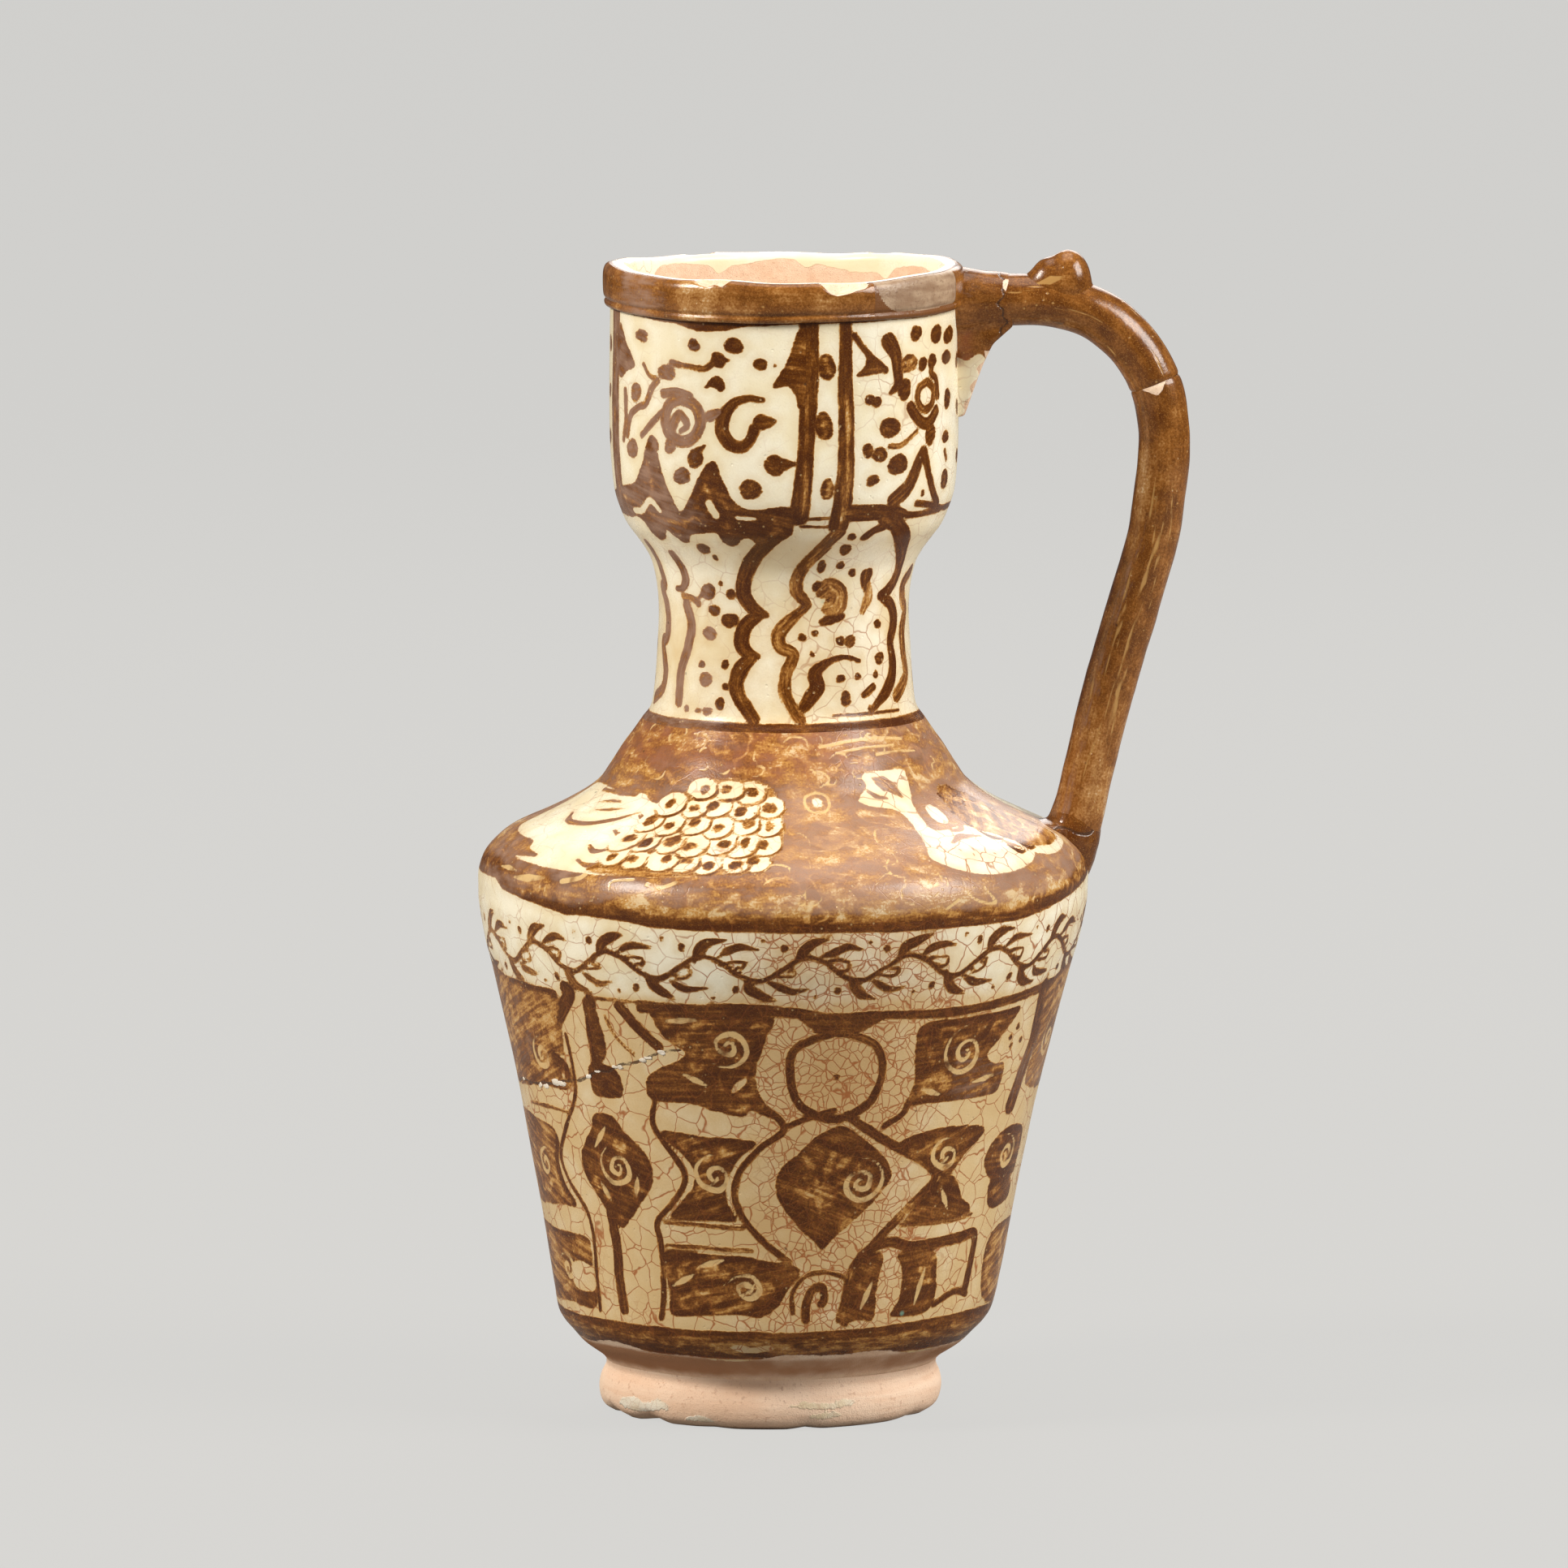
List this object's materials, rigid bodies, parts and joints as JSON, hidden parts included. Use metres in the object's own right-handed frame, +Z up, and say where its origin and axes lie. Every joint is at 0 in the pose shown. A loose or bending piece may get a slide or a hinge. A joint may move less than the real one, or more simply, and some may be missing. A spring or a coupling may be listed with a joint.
{
  "type": "puzzle jug",
  "caption": "Lustre-painted ceramic jug with a carinated body, tall neck, cup-shaped collar, one loop handle with a thumb knob and a hidden drinking passage.",
  "frame": {"origin": "on the jug's axis, at the plane that it stands on", "axes": "+Z up along the jug's axis, +X towards the handle, so the handle lies in the XZ plane"},
  "size_m": [0.1465, 0.1258, 0.2396],
  "materials": {
    "painted_glaze": "glossy cream glaze with brown brush painting, scratched spirals and fine crackle",
    "lustre_brown": "glossy brown lustre with yellow streaks and pinholes",
    "bare_clay": "matt pinkish buff clay with spots of glaze",
    "repair_fill": "dull grey-brown fill",
    "plaster": "matt white fill"
  },
  "bodies": {
    "root": {"foot_ring": "bare_clay", "base_disc": "bare_clay", "body_wall": "painted_glaze", "shoulder": "painted_glaze", "neck": "painted_glaze", "collar": "painted_glaze", "rim_band": "lustre_brown", "rim_patch": "repair_fill", "handle_arch": "lustre_brown", "handle_shaft": "lustre_brown", "thumb_knob": "lustre_brown", "upper_lute": "lustre_brown", "lower_lute": "lustre_brown", "dip_tube": "bare_clay", "tube_seat": "bare_clay", "plaster_plugs": "plaster"}
  },
  "joints": []
}
